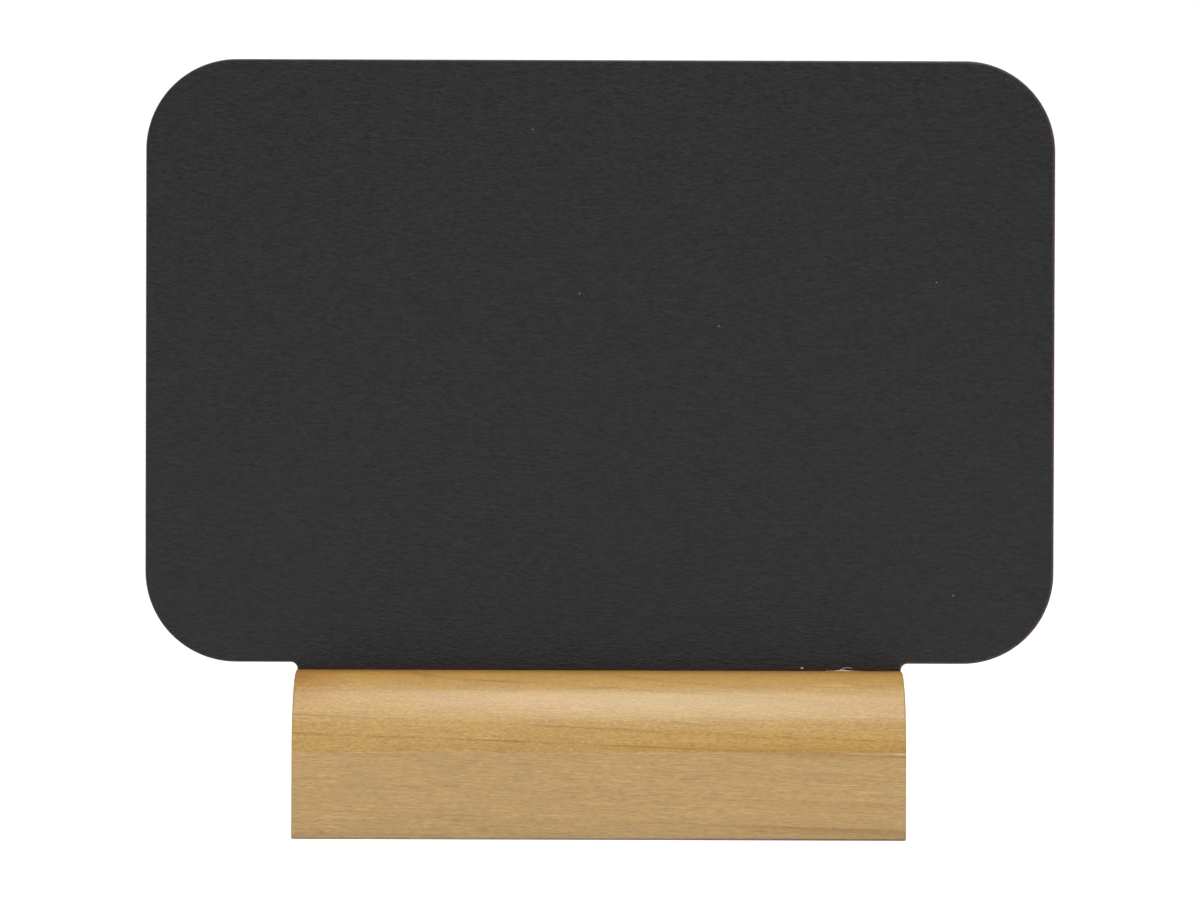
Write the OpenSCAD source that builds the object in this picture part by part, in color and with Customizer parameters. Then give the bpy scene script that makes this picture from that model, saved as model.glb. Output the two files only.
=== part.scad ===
// Tabletop chalkboard: a double-sided laminated board whose tongue stands in
// a slot along the top of a rounded wooden base.
// Millimetres. +X runs along the base, +Y to the rear, +Z up. The origin is
// on the table, at the middle of the base's underside.

/* [Board] */
// Width of the writing board
board_w = 150; // [135:1:300]
// Height of the writing board, from its lower edge to its upper edge
board_h = 99.5; // [40:0.5:210]
// Radius of the board's four corners
corner_r = 15; // [2:0.5:20]
// Thickness of the fibreboard core
core_t = 2.5; // [1.5:0.1:3]
// Thickness of each laminate sheet
sheet_t = 0.5; // [0.3:0.05:0.8]

/* [Tongue] */
// Height of the neck that shows between the board and the base
neck_h = 1.2; // [1.2:0.1:6]
// Radius of the inner corner between the board's lower edge and the neck
neck_r = 1.1; // [0.4:0.1:1.1]
// How far each end of the tongue stops short of the base's end
tongue_inset = 0.15; // [0.05:0.05:4]

/* [Base] */
// Length of the base
base_w = 100; // [40:1:115]
// Depth of the base, front to back
base_d = 30; // [30:1:60]
// Height of the base
base_h = 26.9; // [20:0.1:60]
// Radius of the round-over along both top edges
round_r = 12.7; // [6:0.1:12.7]
// Ledge that the round-over cutter leaves on the flat faces
ledge = 0.1; // [0.05:0.05:0.4]

/* [Slot] */
// Depth of the slot below the top of the base
slot_depth = 12; // [6:0.5:16]
// Clearance between the board and each wall of the slot
slot_play = 0.1; // [0.05:0.01:0.3]

/* [Hidden] */
$fn = 96;
// Overlap that lets a cutting shape pass through a face
cut = 1;

board_t = core_t + 2 * sheet_t;
slot_w = board_t + 2 * slot_play;
slot_floor = base_h - slot_depth;
board_low = base_h + neck_h;
tongue_w = base_w - 2 * tongue_inset;
round_start = base_h - round_r;
round_centre = base_d / 2 - ledge - round_r;

// Rounded rectangle, centred on X, with its lower edge on the X axis.
module rounded_panel(w, h, r) {
    translate([-w / 2, r]) square([w, h - 2 * r]);
    translate([-w / 2 + r, 0]) square([w - 2 * r, h]);
    for (side = [-1, 1], level = [r, h - r])
        translate([side * (w / 2 - r), level]) circle(r);
}

// The web that fills one inner corner, with the corner at the origin and the
// web below and to the right of it.
module inner_fillet(r) {
    difference() {
        translate([0, -r]) square(r);
        translate([r, -r]) circle(r);
    }
}

// Outline that the whole laminated board is cut to, seen from the front.
module board_outline() {
    translate([0, board_low]) rounded_panel(board_w, board_h, corner_r);
    translate([-tongue_w / 2, slot_floor])
        square([tongue_w, board_low - slot_floor + corner_r]);
    for (side = [0, 1])
        mirror([side, 0]) translate([tongue_w / 2, board_low]) inner_fillet(neck_r);
}

// One layer of the board, standing upright, from front_y towards the rear.
module board_layer(front_y, t) {
    translate([0, front_y + t, 0]) rotate([90, 0, 0])
        linear_extrude(t) board_outline();
}

// End view of the base, without its slot: square below, rounded above.
module base_profile() {
    translate([-base_d / 2, 0]) square([base_d, round_start]);
    translate([-round_centre, 0]) square([2 * round_centre, base_h]);
    for (side = [-1, 1])
        translate([side * round_centre, round_start]) circle(round_r);
}

// Solid wooden base, with the slot sawn through from end to end.
module base_block() {
    color([0.75, 0.61, 0.41])
    translate([-base_w / 2, 0, 0]) rotate([90, 0, 90])
        linear_extrude(base_w)
            difference() {
                base_profile();
                translate([-slot_w / 2, slot_floor]) square([slot_w, slot_depth + cut]);
            }
}

// Fibreboard core, which stiffens the board and carries both sheets.
module board_core() {
    color([0.33, 0.22, 0.14]) board_layer(-core_t / 2, core_t);
}

// Black writing surface that faces the front.
module front_sheet() {
    color([0.19, 0.19, 0.19]) board_layer(-core_t / 2 - sheet_t, sheet_t);
}

// Black writing surface that faces the rear.
module rear_sheet() {
    color([0.19, 0.19, 0.19]) board_layer(core_t / 2, sheet_t);
}

base_block();
board_core();
front_sheet();
rear_sheet();
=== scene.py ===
import bmesh
import bpy
import math
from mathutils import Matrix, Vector


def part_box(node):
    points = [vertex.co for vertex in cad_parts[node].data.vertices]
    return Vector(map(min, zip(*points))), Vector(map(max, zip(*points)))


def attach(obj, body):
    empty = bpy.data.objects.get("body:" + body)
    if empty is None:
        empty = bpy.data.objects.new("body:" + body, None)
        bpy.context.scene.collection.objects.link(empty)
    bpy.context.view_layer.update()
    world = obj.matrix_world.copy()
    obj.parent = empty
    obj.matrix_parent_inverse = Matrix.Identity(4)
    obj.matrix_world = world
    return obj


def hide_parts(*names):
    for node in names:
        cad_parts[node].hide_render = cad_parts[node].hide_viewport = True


# A small tabletop chalkboard: a black laminated board standing by its tongue in a slot,
# which is sawn along the top of a rounded pine base.
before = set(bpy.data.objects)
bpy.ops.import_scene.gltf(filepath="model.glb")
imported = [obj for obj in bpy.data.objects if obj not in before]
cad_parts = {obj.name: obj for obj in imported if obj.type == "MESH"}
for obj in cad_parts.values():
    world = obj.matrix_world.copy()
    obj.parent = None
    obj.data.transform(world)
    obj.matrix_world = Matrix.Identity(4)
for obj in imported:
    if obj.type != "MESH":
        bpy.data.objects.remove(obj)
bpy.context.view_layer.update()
mm = 0.001
closeEnough = 0.004 * mm     # places this near count as the same
mergeWithin = 0.001 * mm     # verts this near are merged
flatWithin = math.radians(0.5)   # faces that meet at less are merged
facing = 0.9                 # least share of a normal that counts as facing one way
squarely = 0.999             # and as facing it squarely
noiseRange = {"From Min": 0.3, "From Max": 0.7}   # nearly all of a noise's values lie between
baseLow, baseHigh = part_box("base_block")
coreLow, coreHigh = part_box("board_core")
frontLow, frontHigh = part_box("front_sheet")
rearLow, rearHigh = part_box("rear_sheet")
print("frame loaded, base", baseHigh - baseLow, "board", coreHigh - coreLow)


viewpoint = {
    "distance": 0.834,   # metres in front of the board
    "height": 0.0733,    # metres above the table
    "tilt": 0.69,        # degrees down
    "lean": 0.18,        # degrees, as a hand-levelled tripod stands
    "lens": 151.3,       # a telephoto, which keeps the edges nearly parallel
}

studio = {
    "fill": 0.56,                 # even white light from the tent all round
    "tent": 1.05,                 # the tent itself, plain white behind the object
    "bankSize": (0.14, 0.95),     # metres: a strip softbox, so that the round-over shines most in the middle
    "bankPlace": (0.02, -0.33, 0.96),   # metres from the middle of the base's top: overhead, in front
    "bankPower": 8.9,             # watts
}


def addCamera():
    bpy.ops.object.camera_add(
        location=(0, -viewpoint["distance"], viewpoint["height"]),
        rotation=(math.radians(90 - viewpoint["tilt"]), -math.radians(viewpoint["lean"]), 0),
    )
    camera = bpy.context.object
    camera.data.lens = viewpoint["lens"]
    camera.data.sensor_width = 36
    camera.data.clip_start = 0.01
    bpy.context.scene.camera = camera


def addBank():
    place = Vector(studio["bankPlace"])
    bpy.ops.object.light_add(
        type="AREA", location=place + Vector((0, 0, baseHigh.z)),
        rotation=(-place).to_track_quat("-Z", "Y").to_euler())
    lamp = bpy.context.object
    lamp.name = "softboxBank"
    lamp.data.shape = "RECTANGLE"
    lamp.data.size, lamp.data.size_y = studio["bankSize"]
    lamp.data.energy = studio["bankPower"]


def addNode(tree, kind, inputs=None, **settings):
    node = tree.nodes.new(kind)
    for name, value in settings.items():
        setattr(node, name, value)
    for socket, value in (inputs or {}).items():
        if isinstance(value, bpy.types.Node):
            value = value.outputs[0]
        if isinstance(value, bpy.types.NodeSocket):
            tree.links.new(value, node.inputs[socket])
        else:
            node.inputs[socket].default_value = value
    return node


def hexColour(code):
    # sRGB hex to the linear values that the shaders use
    parts = [int(code[i : i + 2], 16) / 255 for i in (1, 3, 5)]
    return [c / 12.92 if c <= 0.04045 else ((c + 0.055) / 1.055) ** 2.4 for c in parts] + [1]


def lightRoom():
    world = bpy.data.worlds.new("whiteStudio")
    bpy.context.scene.world = world
    world.use_nodes = True
    tree = world.node_tree
    tree.nodes.clear()
    seen = addNode(tree, "ShaderNodeLightPath").outputs["Is Camera Ray"]
    lamp = addNode(tree, "ShaderNodeBackground", {"Color": (1, 1, 1, 1), "Strength": studio["fill"]})
    paper = addNode(tree, "ShaderNodeBackground", {"Color": (1, 1, 1, 1), "Strength": studio["tent"]})
    mix = addNode(tree, "ShaderNodeMixShader", {0: seen, 1: lamp.outputs[0], 2: paper.outputs[0]})
    addNode(tree, "ShaderNodeOutputWorld", {"Surface": mix.outputs[0]})
    addBank()
    scene = bpy.context.scene
    scene.view_settings.view_transform = "Standard"
    scene.view_settings.look = "None"


def newMaterial(name):
    material = bpy.data.materials.new(name)
    material.use_nodes = True
    material.node_tree.nodes.clear()
    return material, material.node_tree


def finishMaterial(tree, shader):
    addNode(tree, "ShaderNodeOutputMaterial", {"Surface": shader.outputs[0]})


opalTable = {
    "size": 3.2,               # metres
    "middle": (0, 0.4, 0),
    "glow": 0.85,              # lit from below, so that the object has hardly a shadow
    "opal": "#aaaaaa",
    "roughness": 0.9, "specular": 0.2,
    "frostScale": 900,         # grains per metre, about
    "frostDepth": 0.1 * mm,
}


def addFloor():
    # opal acrylic sheet, frosted on top: matt and even, with an inner glow
    look = opalTable
    bpy.ops.mesh.primitive_plane_add(size=look["size"], location=look["middle"])
    floor = bpy.context.object
    floor.name = "opalTable"
    material, tree = newMaterial("opalAcrylicLit")
    place = addNode(tree, "ShaderNodeTexCoord").outputs["Object"]
    frost = addNode(tree, "ShaderNodeTexNoise", {
        "Vector": place, "Scale": look["frostScale"], "Detail": 3})
    bump = addNode(tree, "ShaderNodeBump", {
        "Height": frost, "Strength": 0.2, "Distance": look["frostDepth"]})
    finishMaterial(tree, addNode(tree, "ShaderNodeBsdfPrincipled", {
        "Base Color": hexColour(look["opal"]), "Roughness": look["roughness"],
        "Specular IOR Level": look["specular"], "Emission Color": (1, 1, 1, 1),
        "Emission Strength": look["glow"], "Normal": bump}))
    floor.data.materials.append(material)


addCamera()
lightRoom()
addFloor()
print("studio set")


def startPiece(name, low, high):
    # a block from corner to corner, left selected all over in edit mode
    bpy.ops.object.select_all(action="DESELECT")
    middle = [(a + b) / 2 for a, b in zip(low, high)]
    bpy.ops.mesh.primitive_cube_add(size=1, location=middle, scale=[b - a for a, b in zip(low, high)])
    piece = bpy.context.object
    piece.name = name
    bpy.ops.object.transform_apply(location=True, rotation=True, scale=True)
    bpy.ops.object.mode_set(mode="EDIT")
    return piece


def pick(piece, kind, test):
    # selects only the faces, edges or verts that pass the test
    bpy.ops.mesh.select_mode(type={"faces": "FACE", "edges": "EDGE", "verts": "VERT"}[kind])
    bpy.ops.mesh.select_all(action="DESELECT")
    mesh = bmesh.from_edit_mesh(piece.data)
    mesh.normal_update()
    for part in [part for part in getattr(mesh, kind) if test(part)]:
        part.select_set(True)
    bmesh.update_edit_mesh(piece.data)


def near(a, b):
    return abs(a - b) < closeEnough


def edgeAlong(edge, axis, **place):
    # true for an edge that runs along one axis and lies at the given places on the others
    spots = [vert.co for vert in edge.verts]
    if any(not near(abs(getattr(spot, other)), where) for other, where in place.items() for spot in spots):
        return False
    return not near(getattr(spots[0], axis), getattr(spots[1], axis))


def easeFace(radius, steps):
    # builds a rounded arris of that radius outwards round the selected faces
    angles = [math.pi / 2 * i / steps for i in range(steps + 1)]
    for a, b in zip(angles, angles[1:]):
        bpy.ops.mesh.inset(
            thickness=radius * (math.cos(a) - math.cos(b)), depth=radius * (math.sin(b) - math.sin(a)))


def endPiece(piece, body, node, angle=32):
    # corners sharper than the angle, in degrees, stay crisp
    bpy.ops.mesh.select_all(action="SELECT")
    bpy.ops.mesh.remove_doubles(threshold=mergeWithin)
    bpy.ops.mesh.normals_make_consistent(inside=False)
    bpy.ops.object.mode_set(mode="OBJECT")
    bpy.ops.object.shade_smooth_by_angle(angle=math.radians(angle))
    # the small arrises mustn't tilt the shading of the broad flat faces beside them
    weighted = piece.modifiers.new("flatFaces", "WEIGHTED_NORMAL")
    weighted.mode, weighted.weight, weighted.keep_sharp = "FACE_AREA", 100, True
    bpy.ops.object.modifier_apply(modifier=weighted.name)
    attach(piece, body)
    if node:
        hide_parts(node)
    print(piece.name, len(piece.data.polygons), "faces")


pineBase = {
    "roundOver": 12.7 * mm,    # half-inch router bit along both top edges
    "ledge": 0.1 * mm,         # step that the bit leaves at the start of its cut
    "ledgeArris": 0.07 * mm,   # worn on the step's sharp corner
    "slotPlay": 0.1 * mm,      # between the board and each wall of the slot
    "endArris": 0.3 * mm,      # sanded round the sawn ends
    "footArris": 0.35 * mm,    # sanded along the bottom edges
    "slotArris": 0.12 * mm,    # eased along both edges of the slot
    "arcSteps": 40, "arrisSteps": 4, "fineSteps": 3,
    "endShare": 0.6,           # arris faces turned further than this towards the end are sawn wood
}


def makeBase():
    made = pineBase
    crease = baseHigh.z - made["roundOver"]
    lower = Vector((baseHigh.x - made["endArris"], baseHigh.y, crease))
    piece = startPiece("pineBase", Vector((-lower.x, baseLow.y, baseLow.z)), lower)

    # the router's ledge, then the stock that it rounds over
    pick(piece, "faces", lambda face: face.normal.z > facing)
    bpy.ops.mesh.inset(thickness=made["ledge"], depth=0, use_even_offset=True)
    bpy.ops.mesh.extrude_region_move(TRANSFORM_OT_translate={"value": (0, 0, made["roundOver"])})
    pick(piece, "verts", lambda vert: vert.co.z > crease - mm and abs(vert.co.x) < lower.x)
    bpy.ops.transform.resize(
        value=(lower.x / (lower.x - made["ledge"]), 1, 1), center_override=(0, 0, 0))
    top = baseHigh.y - made["ledge"]
    pick(piece, "edges", lambda edge: edgeAlong(edge, "x", y=top, z=baseHigh.z))
    bpy.ops.mesh.bevel(
        offset=made["roundOver"], segments=made["arcSteps"], affect="EDGES", clamp_overlap=False)
    pick(piece, "edges", lambda edge: edgeAlong(edge, "x", y=baseHigh.y, z=baseLow.z))
    bpy.ops.mesh.bevel(offset=made["footArris"], segments=made["arrisSteps"], affect="EDGES")
    bpy.ops.mesh.select_all(action="SELECT")
    bpy.ops.mesh.remove_doubles(threshold=mergeWithin)
    bpy.ops.mesh.dissolve_limited(angle_limit=flatWithin)
    bpy.ops.object.mode_set(mode="OBJECT")

    # the slot, sawn from end to end
    half = rearHigh.y + made["slotPlay"]
    saw = startPiece("saw", (-2 * baseHigh.x, -half, coreLow.z), (2 * baseHigh.x, half, 2 * baseHigh.z))
    bpy.ops.object.mode_set(mode="OBJECT")
    bpy.ops.object.select_all(action="DESELECT")
    piece.select_set(True)
    bpy.context.view_layer.objects.active = piece
    cut = piece.modifiers.new("slot", "BOOLEAN")
    cut.operation, cut.solver, cut.object = "DIFFERENCE", "EXACT", saw
    bpy.ops.object.modifier_apply(modifier=cut.name)
    bpy.data.objects.remove(saw)

    bpy.ops.object.mode_set(mode="EDIT")
    pick(piece, "faces", lambda face: abs(face.normal.x) > facing)
    easeFace(made["endArris"], made["arrisSteps"])
    for depth, level, radius in (
            (half, baseHigh.z, made["slotArris"]), (baseHigh.y, crease, made["ledgeArris"])):
        pick(piece, "edges", lambda edge: edgeAlong(edge, "x", y=depth, z=level))
        bpy.ops.mesh.bevel(offset=radius, segments=made["fineSteps"], affect="EDGES")
    endPiece(piece, "base", "base_block")

    # which finish each face shows: the sanded round-over, a planed side or a sawn end
    hair = 0.01 * mm
    finishes = list(pineFinishes)
    for face in piece.data.polygons:
        shown = "sanded"
        if abs(face.normal.x) > made["endShare"]:
            shown = "sawn"
        elif face.center.z < crease + hair or abs(face.center.y) < half + hair:
            shown = "planed"
        face.material_index = finishes.index(shown)
    return piece


board = {
    "corner": 15 * mm,
    "neck": 1.2 * mm,          # gap that shows between the board and the base
    "neckFillet": 1.1 * mm,    # inner corners at the ends of the neck
    "tongueInset": 0.15 * mm,  # the tongue stops this short of the base's ends
    "arris": 0.48 * mm,        # eased edge of each laminate sheet
    "cornerSteps": 36, "filletSteps": 10, "arrisSteps": 5,
}


def makeLayer(name, low, high, node, faceOut=0):
    # faceOut is -1 for the front sheet, 1 for the rear one and 0 for the core
    made = board
    lower = baseHigh.z + made["neck"]
    tongue = baseHigh.x - made["tongueInset"]
    front = low.y + (made["arris"] if faceOut < 0 else 0)
    rear = high.y - (made["arris"] if faceOut > 0 else 0)
    piece = startPiece(name, (low.x, front, lower), (high.x, rear, high.z))
    pick(piece, "edges", lambda edge: edgeAlong(edge, "y", x=high.x))
    bpy.ops.mesh.bevel(offset=made["corner"], segments=made["cornerSteps"], affect="EDGES")

    # the tongue grows down out of the lower edge
    def underside(face):
        return face.normal.z < -squarely

    for side in (-tongue, tongue):
        pick(piece, "faces", underside)
        bpy.ops.mesh.bisect(plane_co=(side, 0, 0), plane_no=(1, 0, 0))
    pick(piece, "faces", lambda face: underside(face) and abs(face.calc_center_median().x) < mm)
    bpy.ops.mesh.extrude_region_move(TRANSFORM_OT_translate={"value": (0, 0, low.z - lower)})
    pick(piece, "edges", lambda edge: edgeAlong(edge, "y", x=tongue, z=lower))
    bpy.ops.mesh.bevel(offset=made["neckFillet"], segments=made["filletSteps"], affect="EDGES")
    bpy.ops.mesh.select_all(action="SELECT")
    bpy.ops.mesh.dissolve_limited(angle_limit=flatWithin)
    if faceOut:
        pick(piece, "faces", lambda face: face.normal.y * faceOut > facing)
        easeFace(made["arris"], made["arrisSteps"])
    endPiece(piece, "board", node)
    return piece


strand = {
    "sliverBody": (37.3 * mm, 43.2 * mm),   # from the middle, along the front edge of the slot
    "sliverThick": 0.2 * mm,
    "sliverTip": 0.2,                       # thickness of its ends, as a share of its middle's
    "sliverLift": 0.9,                      # height of its middle line, in its own radii
    "sliverWave": 0.3,                      # and how far that line waves
    "sliverWaves": 17,                      # radians of wave from end to end
    "curlStart": 39.7 * mm,                 # a finer fibre that curls up off the sliver's back
    "curlReach": 2.1 * mm,
    "curlFoot": 0.16 * mm,
    "curlHeight": 0.42 * mm,
    "curlTurn": 0.78,                       # share of an arch, so that its tip hangs free
    "curlThick": 0.09 * mm,
    "curlTaper": 0.6,
    "steps": 26, "sides": 8,
}


def growStrand(points, radii):
    # a thin round strand, extruded ring by ring from its first point to its last
    bpy.ops.mesh.primitive_circle_add(
        vertices=strand["sides"], radius=radii[0], fill_type="NGON", location=points[0],
        rotation=(0, math.pi / 2, 0))
    for i in range(1, len(points)):
        bpy.ops.mesh.extrude_region_move(TRANSFORM_OT_translate={"value": points[i] - points[i - 1]})
        bpy.ops.transform.resize(value=(radii[i] / radii[i - 1],) * 3, center_override=points[i])


def makeSliver():
    # pine torn up by the saw, still lying on the front edge of the slot
    made = strand
    lip = frontLow.y - pineBase["slotPlay"] - pineBase["slotArris"]
    start, end = made["sliverBody"]
    bpy.ops.object.select_all(action="DESELECT")
    bpy.ops.object.add(type="MESH")
    piece = bpy.context.object
    piece.name = "tornSliver"
    bpy.ops.object.mode_set(mode="EDIT")

    shares = [i / made["steps"] for i in range(made["steps"] + 1)]
    swell = 1 - made["sliverTip"]
    radii = [
        made["sliverThick"] / 2 * (made["sliverTip"] + swell * math.sin(math.pi * share) ** 4)
        for share in shares]
    growStrand([
        Vector((
            start + share * (end - start),
            lip - radius,
            baseHigh.z + radius * (
                made["sliverLift"] + made["sliverWave"] * math.sin(made["sliverWaves"] * share))))
        for share, radius in zip(shares, radii)], radii)
    growStrand([
        Vector((
            made["curlStart"] + made["curlReach"] * share,
            lip - made["sliverThick"] / 2,
            baseHigh.z + made["curlFoot"]
            + made["curlHeight"] * math.sin(made["curlTurn"] * math.pi * share)))
        for share in shares], [made["curlThick"] / 2 * (1 - made["curlTaper"] * share) for share in shares])
    endPiece(piece, "base", None, 60)
    return piece


dust = {
    "place": 33.5 * mm,       # from the middle, towards the right
    "height": 0.45 * mm,      # above the base's top
    "size": (0.55 * mm, 0.14 * mm, 0.32 * mm),
    "rough": 0.012 * mm,
}


def makeCrumb():
    # a crumb of wood dust, stuck to the board just above the slot
    made = dust
    bpy.ops.object.select_all(action="DESELECT")
    place = (made["place"], frontLow.y - made["size"][1] / 2, baseHigh.z + made["height"])
    bpy.ops.mesh.primitive_ico_sphere_add(subdivisions=3, radius=0.5, location=place, scale=made["size"])
    piece = bpy.context.object
    piece.name = "dustCrumb"
    bpy.ops.object.transform_apply(location=True, rotation=True, scale=True)
    bpy.ops.object.mode_set(mode="EDIT")
    bpy.ops.mesh.select_all(action="SELECT")
    bpy.ops.transform.vertex_random(offset=made["rough"], seed=4)
    endPiece(piece, "board", None, 80)
    return piece


pineLook = {
    "grainSlope": 1.9,          # degrees that the grain runs down to the right
    "pith": (9.0, -46.0),       # mm, the tree's centre, seen on the end of the base
    "wander": 0.9,              # mm that the grain strays
    "wanderSize": (42, 30),     # mm along the grain and across it, from one stray to the next
    # winter lines: height up the front, line's strength and width, depth and strength of the dark wood below
    "rings": [
        (3.2, 0.3, 0.2, 1.1, 0.6), (7.6, 0.1, 0.2, 1.6, 0.2), (12.0, 0.08, 0.2, 1.4, 0.15),
        (15.4, 0.9, 0.14, 1.2, 0.35), (18.1, 0.55, 0.12, 0.7, 0.4), (24.4, 0.8, 0.07, 0.2, 0.1),
        (26.2, 0.3, 0.05, 0.3, 0.1)],
    "ringMargin": 4,            # mm of plain wood inside the first ring and outside the last
    "dashSize": (17, 2.5),      # mm, the stretches where a line shows, along the grain and across it
    "dashLeast": 0.12,          # how much of a line is left between them
    "lineFade": (5, 30, 0.3),   # mm along the base where the lines fade, and the share that is left
    "winterStart": 29.0,        # mm along the base, where the dark wood starts at the table's height
    "winterSlant": 1.45,        # mm earlier for each mm up
    "winterEdge": (9, 5),       # mm before and after the start, over which the dark wood comes in
    "winterLeast": 0.15,
    "faintRing": 2.7,           # mm between the faint rings
    "poolHeight": 2.2,          # mm above the ledge
    "slotBounceReach": 8.5,           # mm from the slot, over which warm bounce light and shade are painted into the wood
    "slotStain": "#553513",     # painted shade right beside the slot, under the board
    "slotShadeReach": 4.2,           # mm
    "cornerStain": "#99602c",   # reddened upper corner of the left end
    "cornerReach": 10.0,        # mm along from the end
    "cornerDepth": (6, 1, 0.1),   # mm below the top, where it starts and is full, and the share below
    "cornerShare": 0.6,
    "footShade": "#5f5347",         # painted shade along the foot and low on the base
    "footShadeHeight": 0.45,        # mm
    "footShadeAlong": (-20, 35),    # mm along the base, over which the painted shade at the foot gets darker
    "footShadeShares": (0.4, 0.95),
    "lowShadeHeight": 4.0,       # mm, painted shade from the table, strongest at the bottom
    "lowShadeShare": 0.2,
    "paleWoodAndGlint": "#d9bd8c",        # pale bare wood: the stray fibres, and the line along the ledge's corner, which is rubbed wood with a painted glint
    "ledgeGlintWidth": 0.16,        # mm
    "ledgeGlintBreaks": (0.42, 0.6),   # higher leaves fewer pale places along the ledge
    "fibreSpacing": (27, 8.5),   # mm between the stray pale fibres
    "fibreSize": (2.8, 0.08),   # mm, half length and half thickness
}

pineFinishes = {
    # in each finish, the warm colour near the slot and its share are painted bounce light and shade, the slot
    # share is painted shade at the slot's edge, and the pale share at the ledge's corner is rubbed wood with
    # a painted glint
    # cut with a round-over bit and sanded under satin lacquer: warm and clear, with a broad soft sheen
    "sanded": {
        "summer": "#af8d54", "winter": "#a07426", "line": "#724a1c", "slotBounce": "#b98430", "slotBounceShare": 0.75,
        "slot": 0.6, "pool": 0.48, "faint": 0.05, "paleWoodAndGlint": 0.42, "fibres": 0.42,
        "roughness": 0.44, "specular": 0.25, "coat": 0.125, "coatRoughness": 0.2, "bump": 0.016,
        # mm along the grain, mm across it, noise detail, depth
        "patterns": [(60, 14, 2, 0.05), (7, 0.35, 3, 0.1), (0.7, 0.17, 3, 0.25)]},
    # machine planed, with lacquer too thin to fill it: greyer and matt, with fine streaks along the grain
    "planed": {
        "summer": "#ab8c5b", "winter": "#94693a", "line": "#8a6236", "slotBounce": "#a98347", "slotBounceShare": 0.4,
        "slot": 0, "pool": 0, "faint": 0.03, "paleWoodAndGlint": 0.42, "fibres": 0.42,
        "roughness": 0.6, "specular": 0.4, "coat": 0.05, "coatRoughness": 0.5, "bump": 0.02,
        "patterns": [(70, 16, 2, 0.03), (24, 0.5, 2, 0.035), (6, 0.22, 2, 0.1), (1.3, 0.16, 2, 0.19)]},
    # sawn across the grain: the open pores drink the lacquer and go darker
    "sawn": {
        "summer": "#a98650", "winter": "#80582a", "line": "#6b4320", "slotBounce": "#8f6428", "slotBounceShare": 0.3,
        "slot": 0, "pool": 0, "faint": 0.32, "paleWoodAndGlint": 0, "fibres": 0,
        "roughness": 0.7, "specular": 0.3, "coat": 0, "coatRoughness": 0.5, "bump": 0.03,
        "patterns": [(60, 9, 2, 0.08), (8, 0.3, 3, 0.3), (1, 0.9, 3, 0.12)]},
}


def frontDepth(height):
    # mm that the front of the base lies in front of the slot's middle, at a height in mm
    radius, crease = pineBase["roundOver"] / mm, (baseHigh.z - pineBase["roundOver"]) / mm
    lift = min(max(0, height - crease), radius)
    return baseLow.y / mm + radius - math.sqrt(radius * radius - lift * lift)


def bendGrain(tree, spot):
    # the grain slopes and wanders a little, so that no line is straight
    look = pineLook
    swing, (runs, wide) = look["wander"], look["wanderSize"]
    grain = addNode(tree, "ShaderNodeMapping", {
        "Vector": spot, "Rotation": (0, -math.radians(look["grainSlope"]), 0)})
    slow = addNode(tree, "ShaderNodeMapping", {"Vector": grain, "Scale": (1 / runs, 1 / wide, 1 / wide)})
    drift = addNode(tree, "ShaderNodeTexNoise", {
        "Vector": slow, "Scale": 1, "Detail": 6, "Roughness": 0.6})
    wander = addNode(tree, "ShaderNodeVectorMath", {
        0: drift.outputs["Color"], 1: (0, swing, swing), 2: (0, -swing / 2, -swing / 2)},
        operation="MULTIPLY_ADD")
    return addNode(tree, "ShaderNodeVectorMath", {0: grain, 1: wander}, operation="ADD")


def growRings(tree, bent):
    # rings are arcs round the pith: the red channel holds the winter lines, the green the dark wood
    look = pineLook
    pithY, pithZ = look["pith"]
    flat = addNode(tree, "ShaderNodeVectorMath", {0: bent, 1: (0, 1, 1)}, operation="MULTIPLY")
    reach = addNode(tree, "ShaderNodeVectorMath", {
        0: flat, 1: (0, pithY, pithZ)}, operation="DISTANCE").outputs["Value"]
    radii = [math.hypot(frontDepth(ring[0]) - pithY, ring[0] - pithZ) for ring in look["rings"]]
    low, high = radii[0] - look["ringMargin"], radii[-1] + look["ringMargin"]
    share = addNode(tree, "ShaderNodeMapRange", {"Value": reach, "From Min": low, "From Max": high})
    ramp = addNode(tree, "ShaderNodeValToRGB", {0: share})
    stops = ramp.color_ramp.elements
    stops[0].color = stops[1].color = (0, 0, 0, 1)
    for radius, (line, width, depth, dark) in zip(radii, [ring[1:] for ring in look["rings"]]):
        for offset, colour in (
                (-depth, (0, 0)), (-width, (0, dark)), (0, (line, dark)), (width, (0, 0))):
            stops.new((radius + offset - low) / (high - low)).color = (*colour, 0, 1)
    parts = addNode(tree, "ShaderNodeSeparateColor", {0: ramp})
    return reach, parts.outputs[0], parts.outputs[1]


def strayFibres(tree, bent, strength):
    # stray pale fibres: one short dash near the middle of some cells of a coarse grid
    long, tall = pineLook["fibreSpacing"]
    halfLong, halfTall = pineLook["fibreSize"]
    side = addNode(tree, "ShaderNodeSeparateXYZ", {0: bent}).outputs
    flat = addNode(tree, "ShaderNodeCombineXYZ", {0: side["X"], 1: side["Z"]})
    grid = addNode(tree, "ShaderNodeVectorMath", {0: flat, 1: (1 / long, 1 / tall, 0)}, operation="MULTIPLY")
    cells = addNode(tree, "ShaderNodeTexVoronoi", {"Vector": grid, "Scale": 1}, voronoi_dimensions="2D")
    apart = addNode(tree, "ShaderNodeVectorMath", {
        0: grid, 1: cells.outputs["Position"]}, operation="SUBTRACT")
    scaled = addNode(tree, "ShaderNodeVectorMath", {
        0: apart, 1: (long / halfLong, tall / halfTall, 0)}, operation="MULTIPLY")
    away = addNode(tree, "ShaderNodeVectorMath", {0: scaled}, operation="LENGTH").outputs["Value"]
    return addNode(tree, "ShaderNodeMapRange", {
        "Value": away, "From Min": 0.5, "From Max": 1, "To Min": strength, "To Max": 0})


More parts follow.
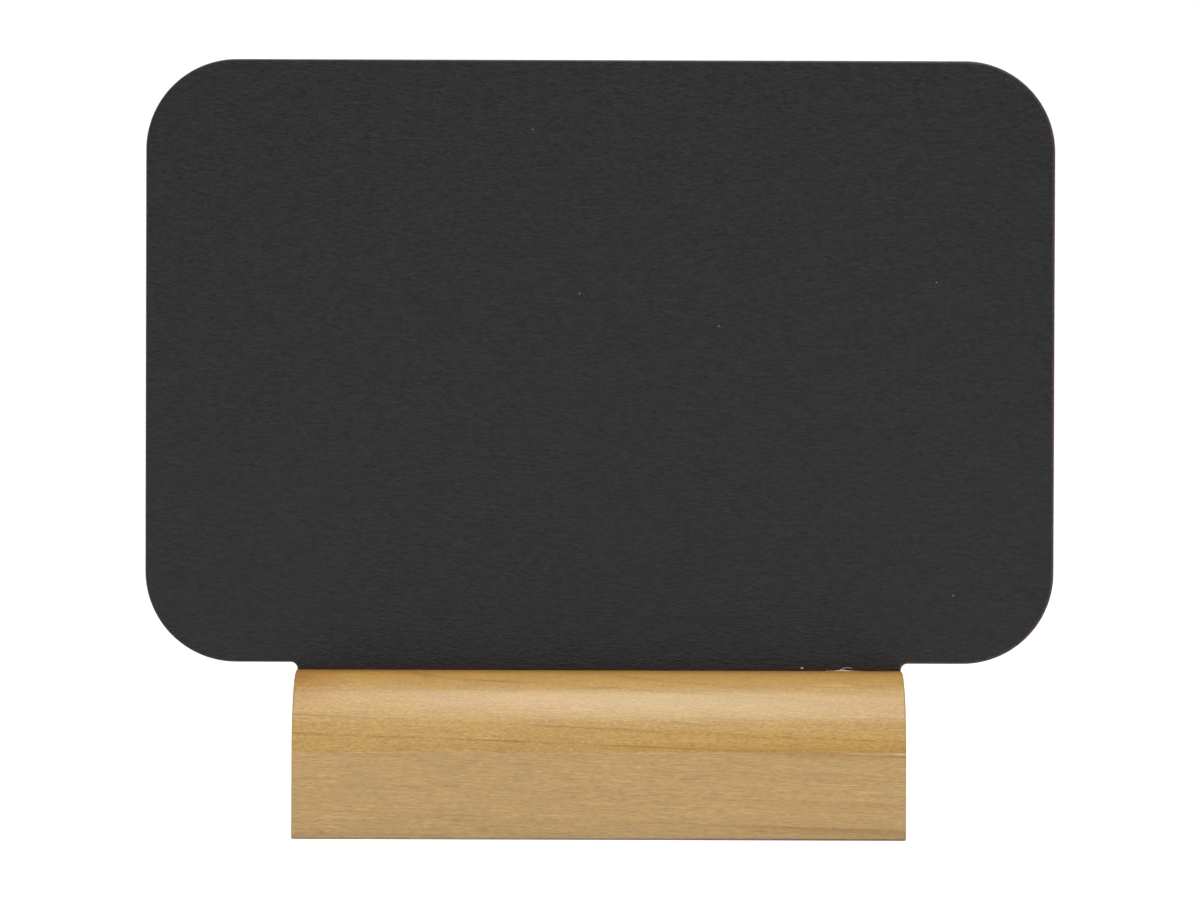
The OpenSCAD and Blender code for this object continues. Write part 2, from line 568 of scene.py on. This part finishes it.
def pine(finishName):
    look, finish = pineLook, pineFinishes[finishName]
    material, tree = newMaterial("pine" + finishName.capitalize())
    place = addNode(tree, "ShaderNodeTexCoord").outputs["Object"]
    spot = addNode(tree, "ShaderNodeMapping", {"Vector": place, "Scale": (1 / mm,) * 3})
    axes = addNode(tree, "ShaderNodeSeparateXYZ", {0: spot}).outputs
    bent = bendGrain(tree, spot)
    reach, winterLine, winterWood = growRings(tree, bent)
    crease = (baseHigh.z - pineBase["roundOver"]) / mm
    slotEdge, leftEnd, top = rearHigh.y / mm, baseLow.x / mm, baseHigh.z / mm

    # the lines come and go along the grain, and the dark wood only shows from a slanting start
    runs, wide = look["dashSize"]
    dashSpot = addNode(tree, "ShaderNodeVectorMath", {
        0: bent, 1: (1 / runs, 1 / wide, 1 / wide)}, operation="MULTIPLY")
    dashNoise = addNode(tree, "ShaderNodeTexNoise", {"Vector": dashSpot, "Scale": 1, "Detail": 3})
    dashes = addNode(tree, "ShaderNodeMapRange", {
        "Value": dashNoise, "From Min": 0.4, "From Max": 0.6, "To Min": look["dashLeast"], "To Max": 1})
    fadeStart, fadeEnd, faded = look["lineFade"]
    fading = addNode(tree, "ShaderNodeMapRange", {
        "Value": axes["X"], "From Min": fadeStart, "From Max": fadeEnd, "To Min": 1, "To Max": faded})
    fadedDashes = addNode(tree, "ShaderNodeMath", {0: dashes, 1: fading}, operation="MULTIPLY")
    lineShare = addNode(tree, "ShaderNodeMath", {0: winterLine, 1: fadedDashes}, operation="MULTIPLY")
    slant = addNode(tree, "ShaderNodeMath", {
        0: axes["Z"], 1: look["winterSlant"], 2: axes["X"]}, operation="MULTIPLY_ADD")
    before, after = look["winterEdge"]
    begun = addNode(tree, "ShaderNodeMapRange", {
        "Value": slant, "From Min": look["winterStart"] - before, "From Max": look["winterStart"] + after,
        "To Min": look["winterLeast"]})
    darkWood = addNode(tree, "ShaderNodeMath", {0: winterWood, 1: begun}, operation="MULTIPLY")

    # lacquer has pooled in the corner above the ledge
    nearLedge = addNode(tree, "ShaderNodeMapRange", {
        "Value": axes["Z"], "From Min": crease + look["poolHeight"] / 3,
        "From Max": crease + look["poolHeight"], "To Min": finish["pool"], "To Max": 0})
    pooled = addNode(tree, "ShaderNodeMath", {0: nearLedge, 1: begun}, operation="MULTIPLY")
    darkest = addNode(tree, "ShaderNodeMath", {0: darkWood, 1: pooled}, operation="MAXIMUM")

    # faint rings between, each darkening towards its winter
    turn = addNode(tree, "ShaderNodeMath", {0: reach, 1: 1 / look["faintRing"]}, operation="MULTIPLY")
    year = addNode(tree, "ShaderNodeMath", {0: turn}, operation="FRACT")
    late = addNode(tree, "ShaderNodeMath", {0: year, 1: 3}, operation="POWER")
    winterShare = addNode(tree, "ShaderNodeMath", {
        0: late, 1: finish["faint"], 2: darkest}, operation="MULTIPLY_ADD")

    # painted light and shade along the slot: a warm amber bounce within reach of it, and darker painted shade
    # at its edge, under the board
    aside = addNode(tree, "ShaderNodeMath", {0: axes["Y"]}, operation="ABSOLUTE")
    nearSlot = addNode(tree, "ShaderNodeMapRange", {
        "Value": aside, "From Min": slotEdge, "From Max": slotEdge + look["slotBounceReach"],
        "To Min": 1, "To Max": 0})
    slotBounceMix = addNode(tree, "ShaderNodeMath", {0: nearSlot, 1: finish["slotBounceShare"]}, operation="MULTIPLY")
    slotShadeShare = addNode(tree, "ShaderNodeMapRange", {
        "Value": aside, "From Min": slotEdge, "From Max": slotEdge + look["slotShadeReach"],
        "To Min": finish["slot"], "To Max": 0})

    # and in the upper corner of the left end
    nearLeft = addNode(tree, "ShaderNodeMapRange", {
        "Value": axes["X"], "From Min": leftEnd, "From Max": leftEnd + look["cornerReach"],
        "To Min": look["cornerShare"], "To Max": 0})
    startDepth, fullDepth, below = look["cornerDepth"]
    upper = addNode(tree, "ShaderNodeMapRange", {
        "Value": axes["Z"], "From Min": top - startDepth, "From Max": top - fullDepth, "To Min": below})
    cornerShare = addNode(tree, "ShaderNodeMath", {0: nearLeft, 1: upper}, operation="MULTIPLY")

    # the ledge's corner is pale in places, rubbed wood with a painted glint, and painted shade darkens the
    # foot and the lowest few mm
    breakLow, breakHigh = look["ledgeGlintBreaks"]
    breaks = addNode(tree, "ShaderNodeMapRange", {
        "Value": dashNoise, "From Min": breakLow, "From Max": breakHigh, "To Max": finish["paleWoodAndGlint"]})
    aboveCrease = addNode(tree, "ShaderNodeMath", {0: axes["Z"], 1: crease}, operation="SUBTRACT")
    fromCrease = addNode(tree, "ShaderNodeMath", {0: aboveCrease}, operation="ABSOLUTE")
    atCrease = addNode(tree, "ShaderNodeMapRange", {
        "Value": fromCrease, "From Max": look["ledgeGlintWidth"], "To Min": 1, "To Max": 0})
    ledgeGlintShare = addNode(tree, "ShaderNodeMath", {0: atCrease, 1: breaks}, operation="MULTIPLY")
    foot = addNode(tree, "ShaderNodeMapRange", {
        "Value": axes["Z"], "From Min": look["footShadeHeight"] / 2, "From Max": look["footShadeHeight"],
        "To Min": 1, "To Max": 0})
    (lightPlace, darkPlace), (lightShare, darkShare) = look["footShadeAlong"], look["footShadeShares"]
    footDarker = addNode(tree, "ShaderNodeMapRange", {
        "Value": axes["X"], "From Min": lightPlace, "From Max": darkPlace,
        "To Min": lightShare, "To Max": darkShare})
    footShadeMix = addNode(tree, "ShaderNodeMath", {0: foot, 1: footDarker}, operation="MULTIPLY")
    lowShade = addNode(tree, "ShaderNodeMapRange", {
        "Value": axes["Z"], "From Max": look["lowShadeHeight"], "To Min": look["lowShadeShare"], "To Max": 0})
    fibreShare = strayFibres(tree, bent, finish["fibres"])

    # mixed in: grain, painted bounce light and shade by the slot, the left corner's stain, pale fibres, the
    # ledge's pale line with its painted glint, and painted shade low on the base
    wood = hexColour(finish["summer"])
    for share, colour in (
            (winterShare, finish["winter"]), (lineShare, finish["line"]), (slotBounceMix, finish["slotBounce"]),
            (slotShadeShare, look["slotStain"]), (cornerShare, look["cornerStain"]),
            (fibreShare, look["paleWoodAndGlint"]), (ledgeGlintShare, look["paleWoodAndGlint"]), (lowShade, look["footShade"]),
            (footShadeMix, look["footShade"])):
        wood = addNode(tree, "ShaderNodeMix", {
            "Factor": share, 6: wood, 7: hexColour(colour)}, data_type="RGBA").outputs[2]

    # each pattern brightens and darkens the wood a little, shifted so that no two line up
    shift = 7.3
    patterns = []
    for number, (runs, wide, detail, depth) in enumerate(finish["patterns"]):
        where = addNode(tree, "ShaderNodeVectorMath", {
            0: bent, 1: (1 / runs, 1 / wide, 1 / wide), 2: (number * shift,) * 3}, operation="MULTIPLY_ADD")
        pattern = addNode(tree, "ShaderNodeTexNoise", {
            "Vector": where, "Scale": 1, "Detail": detail, "Roughness": 0.6})
        tone = addNode(tree, "ShaderNodeMapRange", {
            "Value": pattern, **noiseRange, "To Min": 1 - depth, "To Max": 1 + depth})
        wood = addNode(tree, "ShaderNodeVectorMath", {0: wood, "Scale": tone}, operation="SCALE").outputs[0]
        patterns.append(pattern)

    # the two finest are felt as well as seen
    height = addNode(tree, "ShaderNodeMath", {0: patterns[-1], 1: patterns[-2]}, operation="ADD")
    bump = addNode(tree, "ShaderNodeBump", {
        "Height": height, "Strength": 0.6, "Distance": finish["bump"] * mm})
    spread = 0.05
    sheen = addNode(tree, "ShaderNodeMapRange", {
        "Value": patterns[-1], **noiseRange,
        "To Min": finish["roughness"] - spread, "To Max": finish["roughness"] + spread})
    finishMaterial(tree, addNode(tree, "ShaderNodeBsdfPrincipled", {
        "Base Color": wood, "Roughness": sheen, "Specular IOR Level": finish["specular"],
        "Coat Weight": finish["coat"], "Coat Roughness": finish["coatRoughness"], "Normal": bump}))
    return material


# colours, then mm that its fibres run and mm from one to the next
looseWood = {
    # torn by the saw and never lacquered: pale cream, matt and full of fine fibres
    "pineTorn": {"pale": "#efe0be", "dark": "#cbb184", "runs": 1.2, "wide": 0.08},
    # sanding dust packed into a crumb: whitish and chalky
    "pineDust": {"pale": "#bbb3aa", "dark": "#877e76", "runs": 0.12, "wide": 0.12},
}


def rawPine(name):
    look = looseWood[name]
    material, tree = newMaterial(name)
    place = addNode(tree, "ShaderNodeTexCoord").outputs["Object"]
    spot = addNode(tree, "ShaderNodeMapping", {
        "Vector": place, "Scale": (1 / look["runs"] / mm, 1 / look["wide"] / mm, 1 / look["wide"] / mm)})
    fibre = addNode(tree, "ShaderNodeTexNoise", {"Vector": spot, "Scale": 1, "Detail": 3})
    tone = addNode(tree, "ShaderNodeMapRange", {"Value": fibre, "From Min": 0.35, "From Max": 0.65})
    colour = addNode(tree, "ShaderNodeMix", {
        "Factor": tone, 6: hexColour(look["dark"]), 7: hexColour(look["pale"])}, data_type="RGBA")
    bump = addNode(tree, "ShaderNodeBump", {"Height": fibre, "Strength": 0.5, "Distance": 0.02 * mm})
    finishMaterial(tree, addNode(tree, "ShaderNodeBsdfPrincipled", {
        "Base Color": colour.outputs[2], "Roughness": 0.85, "Specular IOR Level": 0.3, "Normal": bump}))
    return material


laminateLook = {
    "face": "#060606", "faceLight": "#252525",
    "rippleSize": (1.0, 0.4),   # mm, the pressed texture's ripples, along the board and up it
    "rippleHeight": 0.32,     # mm
    "roughness": (0.48, 0.66), "specular": 0.235,
    "paleLower": "#3c3c3d",       # the lower part of the board is a little paler
    "paleLowerShare": 0.16,
    "speck": "#b8b4ae",       # specks of chalk dust
    "speckSpacing": 36.0, "speckSize": 0.15,   # mm
    "speckShare": 0.25,
    "gapShadow": "#341d13",       # painted shadow in the gap where the board goes into the slot
    "gapShadowHeight": 0.5,       # mm to each side of the base's top
    "gapShadowShare": 0.9,
    "kraft": "#2d2018",       # brown paper layers under the black face
    "kraftLight": "#786450",
    "decor": (0.11, 0.0),     # mm of black left over the brown, at the left edge and at the right
    "decorWander": (0.08, 0.035),   # mm, how unevenly it was sanded, and how deep on the whole
    "decorLeast": 0.004,      # mm that the flat face always keeps
    "chips": (0.42, 0.66),    # higher leaves fewer pale chips in the brown
    "chipDepth": 0.22,        # mm down, where they show in full
    "chipLeast": 0.35,        # share that shows right under the black
}


def laminate(faceY):
    # high-pressure laminate pressed against a textured plate: matt and finely rippled, and brown
    # where the sanding has gone through the black
    look = laminateLook
    material, tree = newMaterial("highPressureLaminateBlack")
    place = addNode(tree, "ShaderNodeTexCoord").outputs["Object"]
    spot = addNode(tree, "ShaderNodeMapping", {"Vector": place, "Scale": (1 / mm,) * 3})
    axes = addNode(tree, "ShaderNodeSeparateXYZ", {0: spot}).outputs
    long, tall = look["rippleSize"]
    stretched = addNode(tree, "ShaderNodeVectorMath", {
        0: spot, 1: (1 / long, 1 / tall, 1 / tall)}, operation="MULTIPLY")
    ripple = addNode(tree, "ShaderNodeTexNoise", {
        "Vector": stretched, "Scale": 1, "Detail": 3, "Roughness": 0.66, "Distortion": 0.5})
    grit = addNode(tree, "ShaderNodeTexNoise", {"Vector": spot, "Scale": 6, "Detail": 2})
    tone = addNode(tree, "ShaderNodeMapRange", {"Value": ripple, **noiseRange})
    skin = addNode(tree, "ShaderNodeMix", {
        "Factor": tone, 6: hexColour(look["face"]), 7: hexColour(look["faceLight"])}, data_type="RGBA")

    # sparse specks, in about half of the cells of a coarse grid
    flat = addNode(tree, "ShaderNodeCombineXYZ", {0: axes["X"], 1: axes["Z"]})
    cells = addNode(tree, "ShaderNodeTexVoronoi", {
        "Vector": flat, "Scale": 1 / look["speckSpacing"]}, voronoi_dimensions="2D")
    inside = addNode(tree, "ShaderNodeMath", {
        0: cells.outputs["Distance"], 1: look["speckSize"] / look["speckSpacing"]}, operation="LESS_THAN")
    draw = addNode(tree, "ShaderNodeSeparateXYZ", {0: cells.outputs["Color"]})
    kept = addNode(tree, "ShaderNodeMath", {0: draw, 1: 0.5}, operation="GREATER_THAN")
    speck = addNode(tree, "ShaderNodeMath", {0: inside, 1: kept}, operation="MULTIPLY")
    speckShare = addNode(tree, "ShaderNodeMath", {0: speck, 1: look["speckShare"]}, operation="MULTIPLY")

    # the board is a little paler low down, and painted shadow makes a thin dark line where the base's top
    # meets it
    paleTowardsBase = addNode(tree, "ShaderNodeMapRange", {
        "Value": axes["Z"], "From Min": baseHigh.z / mm, "From Max": rearHigh.z / mm,
        "To Min": look["paleLowerShare"], "To Max": 0})
    aboveTop = addNode(tree, "ShaderNodeMath", {0: axes["Z"], 1: baseHigh.z / mm}, operation="SUBTRACT")
    fromTop = addNode(tree, "ShaderNodeMath", {0: aboveTop}, operation="ABSOLUTE")
    gapShadowed = addNode(tree, "ShaderNodeMapRange", {
        "Value": fromTop, "From Min": look["gapShadowHeight"] / 2, "From Max": look["gapShadowHeight"],
        "To Min": look["gapShadowShare"], "To Max": 0})
    for share, colour in ((paleTowardsBase, look["paleLower"]), (speckShare, look["speck"]), (gapShadowed, look["gapShadow"])):
        skin = addNode(tree, "ShaderNodeMix", {
            "Factor": share, 6: skin.outputs[2], 7: hexColour(colour)}, data_type="RGBA")

    # the black layer is thin, so brown paper shows where the arris is sanded, most along the right edge
    depth = addNode(tree, "ShaderNodeMath", {0: axes["Y"]}, operation="ABSOLUTE")
    below = addNode(tree, "ShaderNodeMath", {0: faceY / mm, 1: depth}, operation="SUBTRACT")
    left, right = look["decor"]
    evenDecor = addNode(tree, "ShaderNodeMapRange", {
        "Value": axes["X"], "From Min": rearLow.x / mm, "From Max": rearHigh.x / mm,
        "To Min": left, "To Max": right})
    sanding = addNode(tree, "ShaderNodeTexNoise", {"Vector": spot, "Scale": 1.4, "Detail": 4})
    wander, sunk = look["decorWander"]
    uneven = addNode(tree, "ShaderNodeMath", {0: sanding, 1: wander, 2: evenDecor}, operation="MULTIPLY_ADD")
    sanded = addNode(tree, "ShaderNodeMath", {0: uneven, 1: sunk}, operation="SUBTRACT")
    decorDepth = addNode(tree, "ShaderNodeMath", {0: sanded, 1: look["decorLeast"]}, operation="MAXIMUM")
    through = addNode(tree, "ShaderNodeMath", {0: below, 1: decorDepth}, operation="GREATER_THAN")
    fewChips, manyChips = look["chips"]
    chips = addNode(tree, "ShaderNodeMapRange", {
        "Value": grit, "From Min": fewChips, "From Max": manyChips})
    deeper = addNode(tree, "ShaderNodeMapRange", {
        "Value": below, "From Max": look["chipDepth"], "To Min": look["chipLeast"]})
    chipShare = addNode(tree, "ShaderNodeMath", {0: chips, 1: deeper}, operation="MULTIPLY")
    paper = addNode(tree, "ShaderNodeMix", {
        "Factor": chipShare, 6: hexColour(look["kraft"]), 7: hexColour(look["kraftLight"])}, data_type="RGBA")
    colour = addNode(tree, "ShaderNodeMix", {
        "Factor": through, 6: skin.outputs[2], 7: paper.outputs[2]}, data_type="RGBA")

    height = addNode(tree, "ShaderNodeMath", {0: grit, 1: 0.2, 2: ripple}, operation="MULTIPLY_ADD")
    bump = addNode(tree, "ShaderNodeBump", {
        "Height": height, "Strength": 1, "Distance": look["rippleHeight"] * mm})
    smoothest, roughest = look["roughness"]
    sheen = addNode(tree, "ShaderNodeMapRange", {"Value": ripple, "To Min": smoothest, "To Max": roughest})
    finishMaterial(tree, addNode(tree, "ShaderNodeBsdfPrincipled", {
        "Base Color": colour.outputs[2], "Roughness": sheen, "Specular IOR Level": look["specular"],
        "Normal": bump}))
    return material


fibreboardLook = {
    "pale": "#6b4d33", "dark": "#4b3422",
    "fibre": 0.35,            # mm
    "bump": 0.03,             # mm
}


def fibreboard():
    # dense wet-formed fibreboard with a sanded edge: dull brown, full of short tangled fibres
    look = fibreboardLook
    material, tree = newMaterial("fibreboardSanded")
    place = addNode(tree, "ShaderNodeTexCoord").outputs["Object"]
    spot = addNode(tree, "ShaderNodeMapping", {"Vector": place, "Scale": (1 / mm,) * 3})
    fibre = addNode(tree, "ShaderNodeTexNoise", {
        "Vector": spot, "Scale": 1 / look["fibre"], "Detail": 4, "Roughness": 0.65, "Distortion": 1.5})
    tone = addNode(tree, "ShaderNodeMapRange", {"Value": fibre, **noiseRange})
    colour = addNode(tree, "ShaderNodeMix", {
        "Factor": tone, 6: hexColour(look["dark"]), 7: hexColour(look["pale"])}, data_type="RGBA")
    bump = addNode(tree, "ShaderNodeBump", {
        "Height": fibre, "Strength": 0.6, "Distance": look["bump"] * mm})
    finishMaterial(tree, addNode(tree, "ShaderNodeBsdfPrincipled", {
        "Base Color": colour.outputs[2], "Roughness": 0.85, "Specular IOR Level": 0.25, "Normal": bump}))
    return material


base = makeBase()
core = makeLayer("boardCore", coreLow, coreHigh, "board_core")
front = makeLayer("frontSheet", frontLow, frontHigh, "front_sheet", -1)
rear = makeLayer("rearSheet", rearLow, rearHigh, "rear_sheet", 1)
sliver = makeSliver()
crumb = makeCrumb()
print("pieces modelled")

for finishName in pineFinishes:
    base.data.materials.append(pine(finishName))
core.data.materials.append(fibreboard())
sheetFinish = laminate(rearHigh.y)
for sheet in (front, rear):
    sheet.data.materials.append(sheetFinish)
sliver.data.materials.append(rawPine("pineTorn"))
crumb.data.materials.append(rawPine("pineDust"))
print("materials made")
